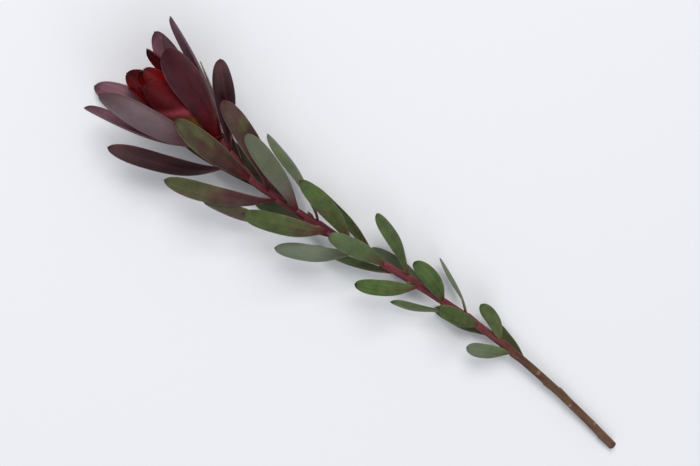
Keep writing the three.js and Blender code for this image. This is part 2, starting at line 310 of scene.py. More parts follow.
def leaf_place(k, aside=0.0):
    """How far up the stem leaf k sits, as a share of the stem, and its turn round it: the spiral's
    own turn, pulled by the light towards the top as the sine of that turn."""
    down = FIRST_STEP + LEAF_STEP * k + LEAF_STEP_GROWTH * k * k
    ruled = SPIRAL_START + SPIRAL_TURN * k + 6 * scatter(k, 1) + aside
    return 1 - down / STEM_LENGTH, ruled - LIGHT_PULL * np.sin(np.radians(ruled))


BARK_RINGS = 900
BARK_SIDES = 56
CUSHION_HALF_WIDTH = 2.1
CUSHION_TAIL = 9.0
CUSHION_TOP = 2.0
SCAR_HALF_WIDTH = 1.9
SCAR_HALF_HEIGHT = 1.25
SCAR_LIP = 0.28

OLD_BARK = srgb(112, 76, 60)
DULL_RED_BARK = srgb(98, 42, 44)
YOUNG_BARK = srgb(122, 52, 64)
OLIVE_CAST = srgb(84, 74, 42)
CUSHION_RED = srgb(126, 38, 48)
SCAR_CORK = srgb(150, 116, 84)
BARK_STAIN = srgb(58, 26, 26)
DRIED_EDGE = srgb(70, 52, 40)

# The bark as rings from the cut end to the neck. It is woody below and young above, with a border
# that rises over a third of the length, and its thickness strays a little from the plain taper.
bark_u = np.linspace(0, 1, BARK_RINGS)[:, None]
bark_turn = ring_turns(BARK_SIDES)
bark_radius = CUT_RADIUS + (NECK_RADIUS - CUT_RADIUS) * bark_u + 0 * bark_turn
young = np.clip((bark_u - 0.10) / 0.36, 0, 1) + 0 * bark_turn
bark_along = bark_u * STEM_LENGTH
bark_radius = bark_radius + 0.10 * blotches(bark_along / 16, 2 * np.sin(bark_turn), 3)
bark_radius = bark_radius + 0.05 * np.sin(5 * bark_turn + 0.05 * bark_along)

# Under each leaf the bark swells as a bell round the stem, with a long tail down it and a short top.
# Where a leaf was stripped off, an oval scar with a raised lip is left on the cushion.
scar = 0 * bark_radius
cushion = 0 * bark_radius
k = FIRST_LEAF
while leaf_place(k)[0] >= LOWEST_SCAR:
    at, turn = leaf_place(k)
    down = (at - bark_u) * STEM_LENGTH
    off = np.angle(np.exp(1j * (bark_turn - np.radians(turn)))) * bark_radius
    tail = np.where(down > 0, down / CUSHION_TAIL, down / CUSHION_TOP)
    swell = np.exp(-((off / CUSHION_HALF_WIDTH) ** 2)) * np.exp(-(tail**2))
    bark_radius = bark_radius + (0.45 + 0.5 * min(at / 0.3, 1)) * swell
    cushion = np.maximum(cushion, swell)
    if k > LAST_LEAF:
        oval = np.hypot(off / SCAR_HALF_WIDTH, (down - 0.6) / SCAR_HALF_HEIGHT)
        scar = np.maximum(scar, 1 / (1 + np.exp((np.minimum(oval, 50) - 1) / 0.12)))
        bark_radius = bark_radius + SCAR_LIP * bump(oval, 1.0, 0.2)
    k += 1
bark_paint = mix(mix(OLD_BARK, DULL_RED_BARK, 2 * young), YOUNG_BARK, 2 * young - 1)
bark_paint = mix(bark_paint, OLIVE_CAST, 0.5 * bump(young, 0.3, 0.3) + 0.12 * np.cos(bark_turn))
bark_paint = mix(bark_paint, CUSHION_RED, 0.5 * cushion * young)
bark_paint = mix(bark_paint, SCAR_CORK, 0.85 * scar)
stain = np.clip(blotches(bark_along / 9, bark_turn, 8), 0, 1)
bark_paint = mix(bark_paint, BARK_STAIN, 0.5 * stain)
bark_paint = mix(bark_paint, DRIED_EDGE, 0.8 * bump(bark_along, 0, 3))

ahead, up, left = stem_directions(bark_u[:, 0])
spoke = np.cos(bark_turn)[..., None] * up[:, None] + np.sin(bark_turn)[..., None] * left[:, None]
bark = stem_centre(bark_u[:, 0])[:, None] + bark_radius[..., None] * spoke

# The cut end and the neck are closed by rings that shrink to a middle point. The cut wood stands a
# little crowned, and its pith has dried in. Its paint goes by the share of the way to the bark.
CAP_RINGS = 14
CUT_CROWN = 0.075
PITH_SINK = 0.105
PITH_TO = 0.24
CAMBIUM_AT = 0.86
CUT_BARK_FROM = 0.91

PITH = srgb(222, 208, 170)
SAPWOOD = srgb(196, 176, 132)
WOOD_RAY = srgb(168, 142, 98)
WOOD_RING = srgb(150, 124, 84)
CAMBIUM = srgb(122, 132, 66)
CUT_BARK = srgb(82, 50, 42)
NECK_RED = srgb(86, 26, 32)

cap_share = 1 - np.linspace(0, 1, CAP_RINGS + 1)[1:-1] ** 0.8
cap_share = cap_share[:, None, None]
cut_middle = bark[0].mean(0)
crown = CUT_CROWN * (1 - cap_share**6) - PITH_SINK * bump(cap_share, 0, 0.16)
cut = cut_middle + (bark[0] - cut_middle) * cap_share - crown * ahead[0]
neck_middle = bark[-1].mean(0)
neck = neck_middle + (bark[-1] - neck_middle) * cap_share
rays = 0.5 + 0.5 * np.sin(23 * bark_turn + 2 * np.sin(7 * bark_turn))
cut_share = cap_share[..., 0] + 0 * bark_turn
year_rings = (0.5 + 0.5 * np.sin(26 * cut_share)) * (cut_share > 0.3)
wood = mix(SAPWOOD, WOOD_RAY, 0.5 * rays)
wood = mix(wood, WOOD_RING, 0.5 * year_rings)
wood = mix(wood, PITH, 1 / (1 + np.exp((cut_share - PITH_TO) / 0.02)))
wood = mix(wood, CAMBIUM, bump(cut_share, CAMBIUM_AT, 0.035))
wood = mix(wood, CUT_BARK, 1 / (1 + np.exp((CUT_BARK_FROM - cut_share) / 0.01)))

stem_points = np.concatenate(
    [
        cut[::-1].reshape(-1, 3),
        bark.reshape(-1, 3),
        neck.reshape(-1, 3),
        [cut_middle - (CUT_CROWN - PITH_SINK) * ahead[0], neck_middle],
    ]
)
stem_paint = np.concatenate(
    [
        wood[::-1].reshape(-1, 3),
        bark_paint.reshape(-1, 3),
        np.broadcast_to(NECK_RED, neck.shape).reshape(-1, 3),
        [PITH, NECK_RED],
    ]
)
stem_rings = BARK_RINGS + 2 * (CAP_RINGS - 1)
woody = np.concatenate(
    [
        np.zeros(cut[..., 0].size),
        ((1 - 0.75 * young) * (1 - scar)).ravel(),
        np.zeros(neck[..., 0].size + 2),
    ]
)

# The bark's skin: fine fissures drawn out along the stem, deepest where it is woody, and pale flecks.
FLECK = (0.33, 0.24, 0.17, 1.0)
bark_material, tree, skin = new_material("bark", 0.5, 0.25)
place = node(tree, "ShaderNodeTexCoord").outputs["Object"]
drawn = node(tree, "ShaderNodeMapping", {"Vector": place, "Scale": (0.12, 1.0, 1.0)}).outputs[0]
grain = ranged(tree, noise(tree, drawn, 2600.0, 5.0, 0.65), 0.35, 0.7)
cells = node(tree, "ShaderNodeTexVoronoi", {"Vector": drawn, "Scale": 520.0, "Randomness": 1.0})
fleck = ranged(tree, cells.outputs["Distance"], 0.05, 0.16, 1.0, 0.0)
shade = ranged(tree, grain, 0.0, 1.0, 0.72, 1.18)
grained = shaded(tree, mesh_value(tree, "paint", "Color"), shade)
coloured = mixed(tree, joined(tree, "MULTIPLY", fleck, 0.45), grained, FLECK)
tree.links.new(coloured, skin.inputs["Base Color"])
fissures = joined(tree, "MULTIPLY", grain, mesh_value(tree, "woody"))
add_relief(tree, skin, joined(tree, "ADD", fissures, fleck), 0.35, 0.0002)

build(
    "stem",
    stem_points,
    ring_faces(stem_rings, BARK_SIDES),
    end_fans(stem_rings, BARK_SIDES, len(stem_points) - 2),
    {"woody": woody},
    stem_paint,
    bark_material,
    ["leafy_stem"],
)


# The leaves. Stalkless leathery blades in one spiral, hollow towards the stem and curved up at the
# tip, each with a midrib, a thin hard rim and a tiny dark callus at its end. Those near the head
# are flushed purple-brown, and those further down are green with a red base.

LEAF_LONGEST = 107.0
LEAF_SHORTER_EACH = 1.5
LEAF_SHORTER_GROWTH = 0.0006
LEAF_WIDEST = 19.4
LEAF_NARROWER_EACH = 0.16
LEAF_TWIST = 50.0

# Some leaves stand aside from the rule: degrees further round the stem, degrees further out at the
# tip, millimetres longer, degrees more twist, and degrees more root lean with a quicker bend after it.
BULGE_PER_BEND = 20.0
LEAF_ASIDE = {
    1: (-45.0, 24.0, -16.0, 0.0, 0.0),
    2: (8.0, -1.0, 10.0, 20.0, 18.0),
    3: (0.0, 12.0, 0.0, 0.0, 0.0),
    4: (-8.0, 0.0, -6.0, 0.0, 0.0),
    5: (32.0, 0.0, -8.0, 0.0, 0.0),
    7: (10.0, -10.0, 8.0, 0.0, 0.0),
    9: (-24.0, 0.0, 4.0, 0.0, 0.0),
    10: (-11.0, -12.0, 5.0, 0.0, 0.0),
    12: (4.0, 0.0, 8.0, 0.0, 0.0),
}
LEAF_GRID = (46, 18)
COARSE_GRID = (24, 8)
EDGE_STRAY = 0.05
LEAF_CALLUS = 0.6


def leaf_blade(k):
    """The sizes in millimetres and the angles in degrees of leaf k, counted down from the head. The
    widest place is a share of the length, and the root a share of the width. A leaf at the stem's
    side twists its outer face up towards the light, and one underneath hardly does."""
    aside, out, longer, twist, bulge = LEAF_ASIDE.get(k, (0.0,) * 5)
    at, turn = leaf_place(k, aside)
    towards_light = np.sin(np.radians(turn)) * (1 + np.cos(np.radians(turn)))
    shorter = LEAF_SHORTER_EACH * k + LEAF_SHORTER_GROWTH * k**3
    return {
        "number": k,
        "foot": stem_centre(at),
        "foot_out": 0.0,
        "directions": stem_directions(at),
        "turn": turn,
        "length": LEAF_LONGEST - shorter + 4 * scatter(k, 2) + longer,
        "width": LEAF_WIDEST - LEAF_NARROWER_EACH * k + 1.2 * scatter(k, 3),
        "widest": 0.6,
        "root": 0.24,
        "blunt": 2.6,
        "root_lean": 46 + 6 * scatter(k, 4) + bulge,
        "tip_lean": 15 + 40 / (k + 4) + 5 * scatter(k, 5) + out,
        "bend": 2.0 + bulge / BULGE_PER_BEND,
        "cup": 26 + 8 * scatter(k, 6),
        "twist": LEAF_TWIST * towards_light + 12 * scatter(k, 7) + twist,
        "drift": 7 * scatter(k, 8),
        "wave": 0.7,
        "phase": scatter(k, 9),
        "thickness": 0.95,
    }


def half_width(blade, t):
    """Half a blade's width at share t of its length: a quarter sine that swells from the root to
    the widest place, then a circle's fall to the tip, made blunter by a higher power."""
    swell = np.sin(np.pi / 2 * np.clip(t / blade["widest"], 0, 1)) ** 1.15
    fall = np.clip((t - blade["widest"]) / (1 - blade["widest"]), 0, 1)
    rounded = np.sqrt(1 - (0.9995 * fall) ** blade["blunt"])
    return blade["width"] / 2 * np.where(fall > 0, rounded, blade["root"] + (1 - blade["root"]) * swell)


def blade_directions(blade, t, pressed):
    """Forward along a blade, its side and its outer normal at shares t. The forward direction
    leans out from the stem by an angle that falls from the root lean to the tip lean as a power
    of the rest of the length, less what the table presses it in. Drift turns it sideways in step
    with t, and twist rolls it about itself, mostly near its foot."""
    ahead, up, left = blade["directions"]
    turn = np.radians(blade["turn"])
    outward = np.cos(turn) * up + np.sin(turn) * left
    across = np.cross(outward, ahead)
    t = t[..., None]
    lean = blade["tip_lean"] + (blade["root_lean"] - blade["tip_lean"]) * (1 - t) ** blade["bend"]
    lean = np.radians(lean - pressed)
    drift = np.radians(blade["drift"]) * t
    level = np.cos(drift) * ahead + np.sin(drift) * across
    forward = np.cos(lean) * level + np.sin(lean) * outward
    flat_normal = np.cos(lean) * outward - np.sin(lean) * level
    flat_side = np.cross(flat_normal, forward)
    twist = np.radians(blade["twist"]) * (1 - (1 - t) ** 3)
    side = np.cos(twist) * flat_side + np.sin(twist) * flat_normal
    return forward, side, np.cross(forward, side)


def blade_sheet(blade, grid, pressed):
    """A blade's outer and inner face as two grids of points, with the shares along and across.
    The midline adds up the forward direction. Across it runs an arc of the cup angle, hollow
    towards the stem, with edges that wave. Half the thickness goes to each side of it, full at
    the midrib and rounded off at the edge, with a low rib outside and a groove inside. Each edge
    strays in and out by a slow sine of its own."""
    rows, columns = grid
    t = 1 - (1 - np.linspace(0, 1, rows)) ** 1.5
    s = np.sin(np.pi / 2 * np.linspace(-1, 1, columns + 1))
    ahead, up, left = blade["directions"]
    turn = np.radians(blade["turn"])
    foot = blade["foot"] + blade["foot_out"] * (np.cos(turn) * up + np.sin(turn) * left)
    between = (t[1:] + t[:-1]) / 2
    steps = blade_directions(blade, between, pressed)[0] * (np.diff(t) * blade["length"])[:, None]
    midline = foot + np.concatenate([np.zeros((1, 3)), np.cumsum(steps, 0)])
    forward, side, normal = blade_directions(blade, t, pressed)
    half = half_width(blade, t)[:, None]
    cup = np.radians(blade["cup"])
    wave = blade["wave"] * s**2 * t[:, None] * np.sin(
        2 * np.pi * (1.4 * t[:, None] + blade["phase"])
    )
    own_phase = np.where(s > 0, scatter(blade["number"], 80), scatter(blade["number"], 81))
    stray = np.sin(2 * np.pi * (1.2 * t[:, None] + own_phase)) * np.sin(np.pi * t[:, None])
    over = half * np.sin(s * cup) / cup * (1 + EDGE_STRAY * s**2 * stray)
    sink = wave - half * (1 - np.cos(s * cup)) / cup
    middle = midline[:, None] + over[..., None] * side[:, None] + sink[..., None] * normal[:, None]
    lengthwise = np.gradient(middle, axis=0)
    crosswise = np.gradient(middle, axis=1)
    out = unit(np.cross(lengthwise, crosswise))
    root = 1 + 0.8 * (1 - t[:, None]) ** 2.86
    body = (1 - 0.35 * s**2) * np.sqrt(1 - np.abs(s) ** 10)
    thick = blade["thickness"] * root * (0.16 + 0.78 * body)
    rib = 0.30 * bump(s, 0, 0.07) * (1 - t[:, None]) ** 0.6
    groove = 0.16 * bump(s, 0, 0.05) * (1 - t[:, None]) ** 0.4
    outer = middle + (thick / 2 + rib)[..., None] * out
    inner = middle - (thick / 2 - groove)[..., None] * out
    return outer, inner, t[:, None] + 0 * s, s + 0 * t[:, None]


def press_of(blade):
    """How many degrees the table pushes a blade in towards the stem, found by halving: none if the
    blade clears the table."""

    def lowest(pressed):
        outer, inner, _, _ = blade_sheet(blade, COARSE_GRID, pressed)
        return min(outer[..., 2].min(), inner[..., 2].min())

    if lowest(0.0) >= 0:
        return 0.0
    least, most = 0.0, blade["root_lean"] + 25
    for _ in range(22):
        middle = (least + most) / 2
        if lowest(middle) < 0:
            least = middle
        else:
            most = middle
    return most


def sheet_faces(rows, columns, first):
    """The quads of a closed blade: the outer grid, the inner grid the other way round, and the
    strips that join their four borders."""
    n = columns + 1
    back = rows * n
    i, j = np.meshgrid(np.arange(rows - 1), np.arange(columns), indexing="ij")
    a = first + i * n + j
    b = a + back
    left = first + np.arange(rows - 1) * n
    right = left + columns
    root = first + np.arange(columns)
    tip = root + (rows - 1) * n
    return np.concatenate(
        [
            np.stack([a, a + n, a + n + 1, a + 1], -1).reshape(-1, 4),
            np.stack([b, b + 1, b + n + 1, b + n], -1).reshape(-1, 4),
            np.stack([left, left + back, left + n + back, left + n], -1),
            np.stack([right, right + n, right + n + back, right + back], -1),
            np.stack([root, root + 1, root + 1 + back, root + back], -1),
            np.stack([tip + 1, tip, tip + back, tip + 1 + back], -1),
        ]
    )


def callus(blade, pressed, size):
    """The hard tip: an egg of rings about the blade's end, longest along the blade and flattest
    along its normal, that closes in a point at each end. Returns its points and the number of its
    rings and sides."""
    rings, sides = 7, 8
    outer, inner, _, _ = blade_sheet(blade, COARSE_GRID, pressed)
    end = (outer[-1].mean(0) + inner[-1].mean(0)) / 2
    forward, side, normal = (d[0] for d in blade_directions(blade, np.array([1.0]), pressed))
    polar = np.linspace(0.12, np.pi - 0.12, rings)[:, None]
    turn = ring_turns(sides)
    egg = (
        (-1.5 * np.cos(polar) + 0 * turn)[..., None] * forward
        + 0.75 * (np.sin(polar) * np.cos(turn))[..., None] * side
        - 0.6 * (np.sin(polar) * np.sin(turn))[..., None] * normal
    )
    ends = end + size * np.array([[-1.52], [1.52]]) * forward
    return np.concatenate([(end + size * egg).reshape(-1, 3), ends]), rings, sides


DEEP_GREEN = srgb(60, 78, 38)
DUSTY_GREEN = srgb(79, 93, 54)
FRESH_GREEN = srgb(80, 112, 50)
GREEN_FLECK = srgb(98, 108, 62)
OLIVE = srgb(92, 86, 52)
LEAF_PURPLE = srgb(36, 2, 12)
LEAF_MAROON = srgb(49, 11, 20)
DUSTY_PURPLE = srgb(82, 48, 53)
MAUVE_TIP = srgb(110, 66, 74)
RED_PATCH = srgb(78, 32, 34)
GREEN_PATCH = srgb(88, 94, 58)
HOLLOW_SIDE = srgb(88, 46, 56)
ROOT_RED = srgb(104, 32, 40)
MIDRIB_RED = srgb(108, 36, 40)
MIDRIB_BROWN = srgb(96, 46, 40)
LEAF_RIM = srgb(150, 118, 104)
LEAF_END = srgb(46, 22, 20)
CALLUS_BROWN = srgb(40, 18, 16)

# The least flush at the tip of a leaf that is darker than its place on the stem gives.
LEAF_FLUSHED = {6: 0.72, 10: 0.55}


def leaf_paint(blade, t, s, inside):
    """The leaf's colour and its share of wax bloom. The purple flush falls off down the stem as two
    bells, sooner at the tips than at the roots, so that a leaf in between is olive above and
    purple-brown below, with a border of its own height between the two and red-brown patches
    where it turns. All are red at the root."""
    k = blade["number"]
    edge = 1 - np.abs(s)
    broad = blotches(t * blade["length"] / 30, s * 0.5, k + 0.5)
    small = blotches(t * blade["length"] / 8, s * 1.5, k + 40.5)
    at_tip = np.exp(-((max(k - 2, 0) / 2.2) ** 1.5))
    at_tip = max(at_tip, LEAF_FLUSHED.get(k, 0))
    at_root = np.exp(-((max(k - 5, 0) / 9) ** 1.6))
    border = 0.41 + 0.3 * scatter(k, 314) + 0.06 * s
    flush = at_root + (at_tip - at_root) / (1 + np.exp((border - t) / 0.11))
    turning = 4 * np.clip(flush, 0, 1) * (1 - np.clip(flush, 0, 1))
    flush = flush + (0.13 * broad + 0.09 * small) * (0.3 + turning)
    flush = flush + 0.08 * scatter(k, 21) + 0.15 * at_tip**2
    green = mix(DEEP_GREEN, DUSTY_GREEN, 0.5 + 0.5 * scatter(k, 22) + 0.3 * broad)
    lower = np.clip(k / 8 - 1, 0, 1)
    green = mix(green, FRESH_GREEN, 0.5 * lower * (0.5 + 0.5 * scatter(k, 24)))
    green = mix(green, GREEN_FLECK, 0.3 * np.clip(small, 0, 1))
    green = mix(green, OLIVE, 0.4 * np.clip(1.4 - k / 10, 0, 1))
    dark = mix(LEAF_PURPLE, LEAF_MAROON, 0.5 + 0.5 * broad)
    dark = mix(dark, DUSTY_PURPLE, (k - 2) / 6)
    dark = mix(dark, MAUVE_TIP, 0.4 * at_tip * bump(t, 1.0, 0.2))
    skin = mix(green, dark, flush)
    skin = mix(skin, RED_PATCH, 0.45 * turning * np.clip(1.8 * small - 0.2, 0, 1))
    skin = mix(skin, GREEN_PATCH, 0.4 * turning * np.clip(-1.8 * small - 0.5, 0, 1))
    if inside:
        skin = mix(skin, HOLLOW_SIDE, 0.4 * np.clip(flush, 0, 1))
    skin = mix(skin, ROOT_RED, 0.92 * bump(t, 0, 0.13 + 0.05 * turning))
    streak = bump(s, 0, 0.05 + 0.3 * (1 - t) ** 4) * bump(t, 0, 0.42)
    skin = mix(skin, MIDRIB_RED, 0.7 * streak)
    skin = mix(skin, MIDRIB_BROWN, 0.22 * bump(s, 0, 0.045) * (1 - t) ** 0.5)
    skin = mix(skin, LEAF_RIM, 0.6 * bump(edge, 0, 0.045) * (t > 0.1))
    skin = mix(skin, LEAF_END, 0.7 * bump(t, 1.0, 0.03))
    waxy = 0.03 + 0.45 * np.clip(scatter(k, 99), 0, 1) + 0.06 * at_tip * bump(t, 0.95, 0.22)
    return skin, waxy * (1 - bump(t, 0, 0.3)) * (1 + 0.4 * broad)


def build_blades(name, blades, grid, painter, material, nodes, callus_size):
    """Every blade of one group with its callus, as one mesh. Each point carries its shares along
    and across, its share of bloom, and a number of its blade's own, for the veins."""
    points, quads, fans, along, across, own, paint, bloom = [], [], [], [], [], [], [], []
    first = 0
    for blade in blades:
        pressed = press_of(blade)
        outer, inner, t, s = blade_sheet(blade, grid, pressed)
        points += [outer.reshape(-1, 3), inner.reshape(-1, 3)]
        for inside in (False, True):
            colour, waxy = painter(blade, t, s, inside)
            paint.append(colour.reshape(-1, 3))
            bloom.append(np.clip(waxy, 0, 1).ravel())
        along += [t.ravel(), t.ravel()]
        across += [s.ravel(), s.ravel()]
        quads.append(sheet_faces(grid[0], grid[1], first))
        first += 2 * t.size
        tip, rings, sides = callus(blade, pressed, callus_size)
        quads.append(ring_faces(rings, sides, first))
        fans.append(end_fans(rings, sides, first + rings * sides, first))
        points.append(tip)
        paint.append(np.broadcast_to(CALLUS_BROWN, tip.shape))
        bloom.append(np.zeros(len(tip)))
        along.append(np.ones(len(tip)))
        across.append(np.zeros(len(tip)))
        first += len(tip)
        own.append(np.full(2 * t.size + len(tip), 7.3 * scatter(blade["number"], 23)))
    values = {
        "along": np.concatenate(along),
        "across": np.concatenate(across),
        "own": np.concatenate(own),
        "bloom": np.concatenate(bloom),
    }
    build(
        name,
        np.concatenate(points),
        np.concatenate(quads),
        np.concatenate(fans),
        values,
        np.concatenate(paint),
        material,
        nodes,
    )


WORN_WAX = (*srgb(168, 150, 140), 1.0)


def blade_material(name, roughness, specular, vein_depth, bloom_colour):
    """A leathery waxed skin. The colour comes from the mesh. Fine veins run along the blade as
    noise drawn out in its own shares, a grey wax bloom lies in patches as thick as the mesh says,
    and pale specks of worn wax are strewn over it."""
    material, tree, skin = new_material(name, roughness, specular)
    place = node(tree, "ShaderNodeTexCoord").outputs["Object"]
    shares = {
        "X": mesh_value(tree, "across"),
        "Y": mesh_value(tree, "along"),
        "Z": mesh_value(tree, "own"),
    }
    blade_place = node(tree, "ShaderNodeCombineXYZ", shares).outputs[0]
    stretch = {"Vector": blade_place, "Scale": (11.0, 1.6, 1.0)}
    veins = noise(tree, node(tree, "ShaderNodeMapping", stretch).outputs[0], 1.0, 3.0, 0.6)
    vein_shade = ranged(tree, veins, 0.3, 0.7, 0.78, 1.22)
    cloud_shade = ranged(tree, noise(tree, place, 85.0, 4.0, 0.6), 0.3, 0.7, 0.72, 1.28)
    shade = joined(tree, "MULTIPLY", vein_shade, cloud_shade)
    bare = shaded(tree, mesh_value(tree, "paint", "Color"), shade)

    patches = noise(tree, place, 38.0, 5.0, 0.7)
    patchy = ranged(tree, patches, 0.3, 0.7, 0.75, 1.25)
    bloom = {0: mesh_value(tree, "bloom"), 1: patchy}
    bloom_share = node(tree, "ShaderNodeMath", bloom, operation="MULTIPLY", use_clamp=True).outputs[0]
    bloomed = mixed(tree, bloom_share, bare, (*bloom_colour, 1.0))

    specks = node(tree, "ShaderNodeTexVoronoi", {"Vector": place, "Scale": 330.0, "Randomness": 1.0})
    near_speck = ranged(tree, specks.outputs["Distance"], 0.06, 0.13, 1.0, 0.0)
    chosen = joined(tree, "GREATER_THAN", specks.outputs["Color"], 0.82)
    speck = joined(tree, "MULTIPLY", near_speck, chosen)
    coloured = mixed(tree, joined(tree, "MULTIPLY", speck, 0.3), bloomed, WORN_WAX)
    tree.links.new(coloured, skin.inputs["Base Color"])

    dull = ranged(tree, patches, 0.3, 0.7, roughness - 0.07, roughness + 0.1)
    tree.links.new(dull, skin.inputs["Roughness"])
    pits = joined(tree, "MULTIPLY", noise(tree, place, 1500.0, 2.0), 0.25)
    add_relief(tree, skin, joined(tree, "ADD", veins, pits), 0.5, vein_depth)
    return material


LEAF_BLOOM = srgb(124, 126, 120)
leaf_skin = blade_material("leaf_skin", 0.42, 0.14, 0.00035, LEAF_BLOOM)
build_blades(
    "leaves",
    [leaf_blade(k) for k in range(FIRST_LEAF, LAST_LEAF + 1)],
    LEAF_GRID,
    leaf_paint,
    leaf_skin,
    ["leafy_stem"],
    LEAF_CALLUS,
)


# The buds. A small resting shoot sits in the axil of some leaves, a few tight scales of the same
# leathery skin folded over each other, half hidden between the leaf and the stem it grows from.

BUD_FROM = 3
BUD_AHEAD = 7.8
BUD_LEAN = np.radians(20)
BUD_LENGTH = 7.5
BUD_RADIUS = 1.55
BUD_WIDEST = 0.42
BUD_SUNK = 0.6
BUD_SCALES = 6
BUD_RINGS = 26
BUD_SIDES = 24
BUD_BLOOM = 0.12

BUD_RED = srgb(92, 34, 34)
BUD_GREEN = srgb(96, 96, 48)
BUD_TIP = srgb(70, 26, 26)
BUD_RIM = srgb(132, 92, 70)


def bud_skin(k):
    """The bud of leaf k: its rings of points, its two end points, the share of its length and the
    share of scale edge at each point. It is an egg that leans out between the stem and the leaf. A
    scale is a shield that starts at its own height and turn, narrows to a point, and stands proud
    of the egg by a low step."""
    blade = leaf_blade(k)
    ahead, up, left = blade["directions"]
    round_stem = np.radians(blade["turn"])
    outward = np.cos(round_stem) * up + np.sin(round_stem) * left
    across = np.cross(outward, ahead)
    forward = np.cos(BUD_LEAN) * ahead + np.sin(BUD_LEAN) * outward
    raised = np.cross(forward, across)
    base = stem_centre(leaf_place(k)[0] + BUD_AHEAD / STEM_LENGTH)
    base = base + (NECK_RADIUS - BUD_SUNK) * outward
    share = (1 - (1 - np.linspace(0, 1, BUD_RINGS)) ** 1.4)[:, None]
    turn = ring_turns(BUD_SIDES)
    fall = (share - BUD_WIDEST) / (1.002 - BUD_WIDEST)
    radius = BUD_RADIUS * np.where(fall > 0, np.sqrt(1 - np.clip(fall, 0, 1) ** 2), 1 - 0.3 * fall**2)
    proud = 0 * radius * turn
    rim = 0 * radius * turn
    for n in range(BUD_SCALES):
        start, end = 0.1 * n, 0.5 + 0.09 * n
        off = np.abs(np.angle(np.exp(1j * (turn - np.radians(SPIRAL_TURN) * n - k))))
        narrow = 1.3 * np.sqrt(np.clip((end - share) / (end - start), 0, 1))
        within = 1 / (1 + np.exp((off - narrow) / 0.08)) * (share > start)
        proud = np.maximum(proud, within * (0.10 + 0.02 * n))
        rim = np.maximum(rim, bump(off, narrow, 0.16) * (share > start) * (share < end))
    radius = radius * (0.9 + proud)
    spoke = np.cos(turn)[..., None] * raised + np.sin(turn)[..., None] * across
    middle = base + BUD_LENGTH * share[..., None] * forward
    ends = np.stack([base, base + BUD_LENGTH * 1.01 * forward])
    return middle + radius[..., None] * spoke, ends, share + 0 * turn, rim


bud_points, bud_quads, bud_fans = [], [], []
bud_along, bud_across, bud_own, bud_paint = [], [], [], []
first = 0
for k in range(BUD_FROM, LAST_LEAF + 1):
    if scatter(k, 31) <= 0:
        continue
    rings, ends, share, rim = bud_skin(k)
    colour = mix(BUD_RED, BUD_GREEN, 1.3 * share + 0.2 * scatter(k, 32))
    colour = mix(colour, BUD_TIP, 0.6 * np.clip((share - 0.85) / 0.15, 0, 1))
    colour = mix(colour, BUD_RIM, 0.6 * rim)
    bud_points += [rings.reshape(-1, 3), ends]
    bud_paint += [colour.reshape(-1, 3), [BUD_RED, BUD_TIP]]
    bud_along += [share.ravel(), [0.0, 1.0]]
    bud_across += [np.tile(np.linspace(-1, 1, BUD_SIDES), BUD_RINGS), [0.0, 0.0]]
    bud_own.append(np.full(share.size + 2, 5.1 * scatter(k, 33)))
    bud_quads.append(ring_faces(BUD_RINGS, BUD_SIDES, first))
    bud_fans.append(end_fans(BUD_RINGS, BUD_SIDES, first + share.size, first))
    first += share.size + 2
build(
    "axil_buds",
    np.concatenate(bud_points),
    np.concatenate(bud_quads),
    np.concatenate(bud_fans),
    {
        "along": np.concatenate(bud_along),
        "across": np.concatenate(bud_across),
        "own": np.concatenate(bud_own),
        "bloom": np.full(first, BUD_BLOOM),
    },
    np.concatenate(bud_paint),
    leaf_skin,
    ["leafy_stem"],
)


# The outer bracts. Large leaf-like blades on the foot of the head, plum and maroon with a grey wax
# bloom, redder at the base. They stand out round the head with their tips open.

OUTER_BRACTS = 7
INNER_BRACTS = 8
BRACT_GRID = (60, 22)
PLUM_CALLUS = 0.7

# The two discs of the head's foot that the bracts grow from, each with its start and its length
# along the head, and its radius. The bracts are rooted well inside them.
OUTER_DISC = (0.3, 6.2, 5.4)
INNER_DISC = (6.8, 8.2, 4.6)
ROOTED_AT = 0.56

# How some bracts stand aside from the rule, by the same five measures as the leaves.
BRACT_ASIDE = {
    1: (-1.0, -13.0, 12.0, 0.0, 19.0),
    3: (20.0, 0.0, 7.0, 0.0, 0.0),
    4: (-28.0, 2.0, -7.0, -22.0, 0.0),
    5: (7.0, 10.0, 3.0, 0.0, 0.0),
    6: (18.0, -5.0, 14.0, -12.0, 24.0),
    8: (15.0, -2.0, -6.0, 0.0, 0.0),
    9: (-20.0, 0.0, -15.0, 0.0, 0.0),
    11: (0.0, -6.0, -8.0, 0.0, 0.0),
}


